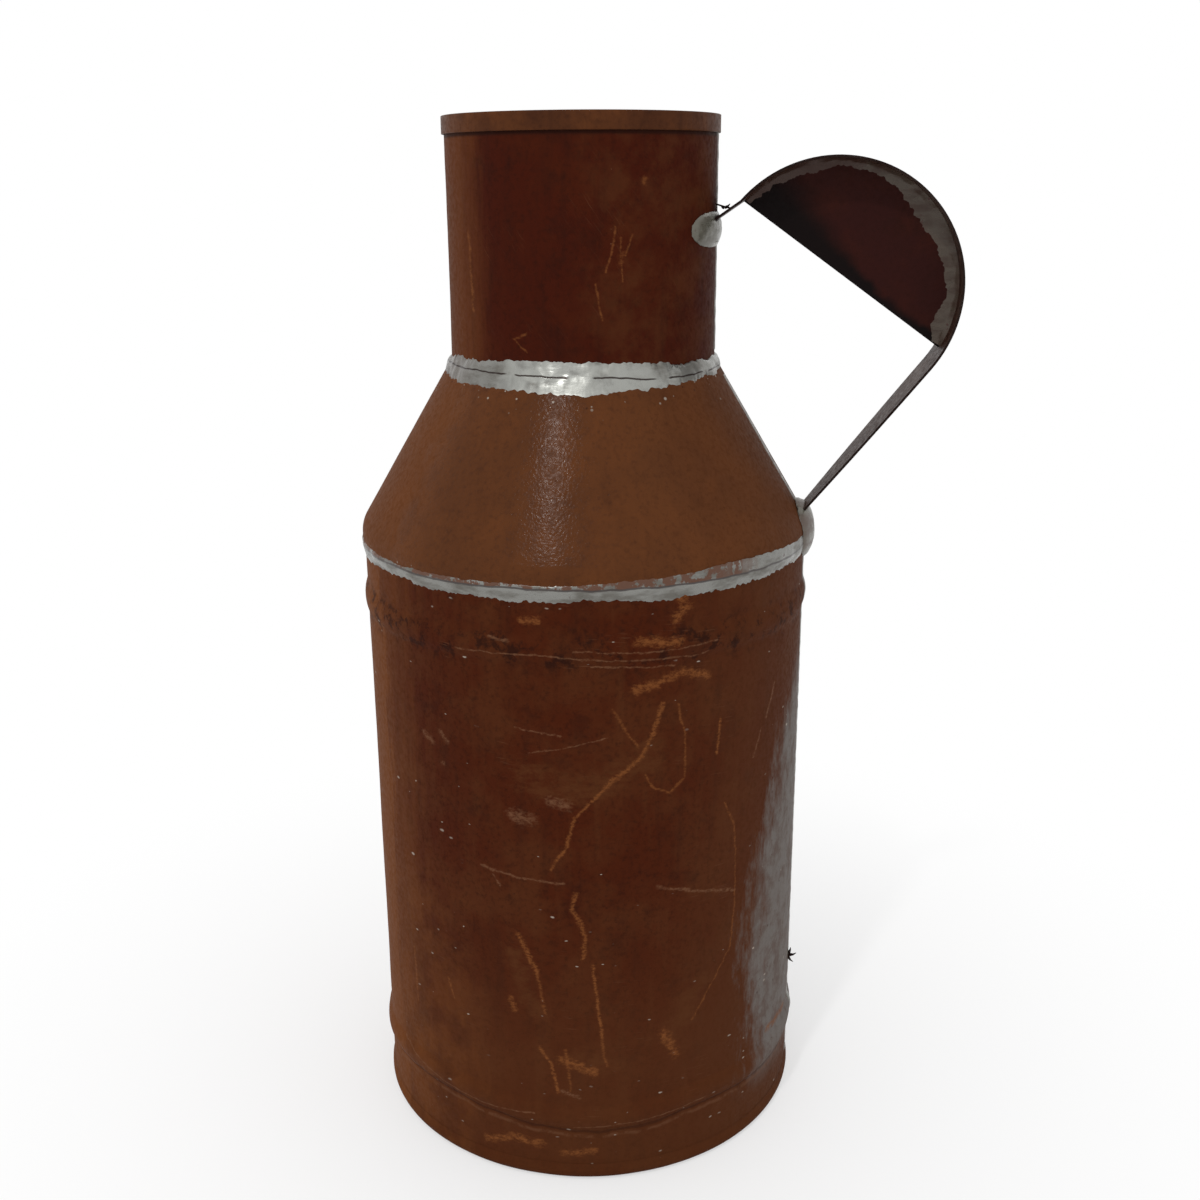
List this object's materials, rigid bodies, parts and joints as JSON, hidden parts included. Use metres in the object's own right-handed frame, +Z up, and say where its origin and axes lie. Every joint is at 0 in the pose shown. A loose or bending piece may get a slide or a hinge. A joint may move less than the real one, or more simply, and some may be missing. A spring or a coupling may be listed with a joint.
{
  "type": "milk can",
  "caption": "Tall round sheet-metal milk can with a conical shoulder, open straight neck and a web-stiffened strap handle soldered to one side.",
  "frame": {"origin": "on the can's axis, in the plane its bottom stands on", "axes": "+Z up along the can's axis, +X towards the handle and the upright seams, +Y to the left of someone looking along +X"},
  "size_m": [0.2634, 0.2038, 0.4567],
  "materials": {
    "rusted_sheet": "rusted",
    "rusted_hoop": "rusted",
    "rusted_strap": "rusted",
    "solder": "dull"
  },
  "bodies": {
    "root": {"base_pan": "rusted_sheet", "body_shell": "rusted_sheet", "shoulder_cone": "rusted_sheet", "neck_tube": "rusted_sheet", "rim_hoop": "rusted_hoop", "handle_strap": "rusted_strap", "handle_web": "rusted_strap", "base_solder": "solder", "shoulder_solder": "solder", "neck_solder": "solder", "body_seam_solder": "solder", "cone_seam_solder": "solder", "neck_seam_solder": "solder", "handle_neck_solder": "solder", "handle_foot_solder": "solder", "web_solder_front": "solder", "web_solder_back": "solder", "solder_whisker": "solder"}
  },
  "joints": []
}
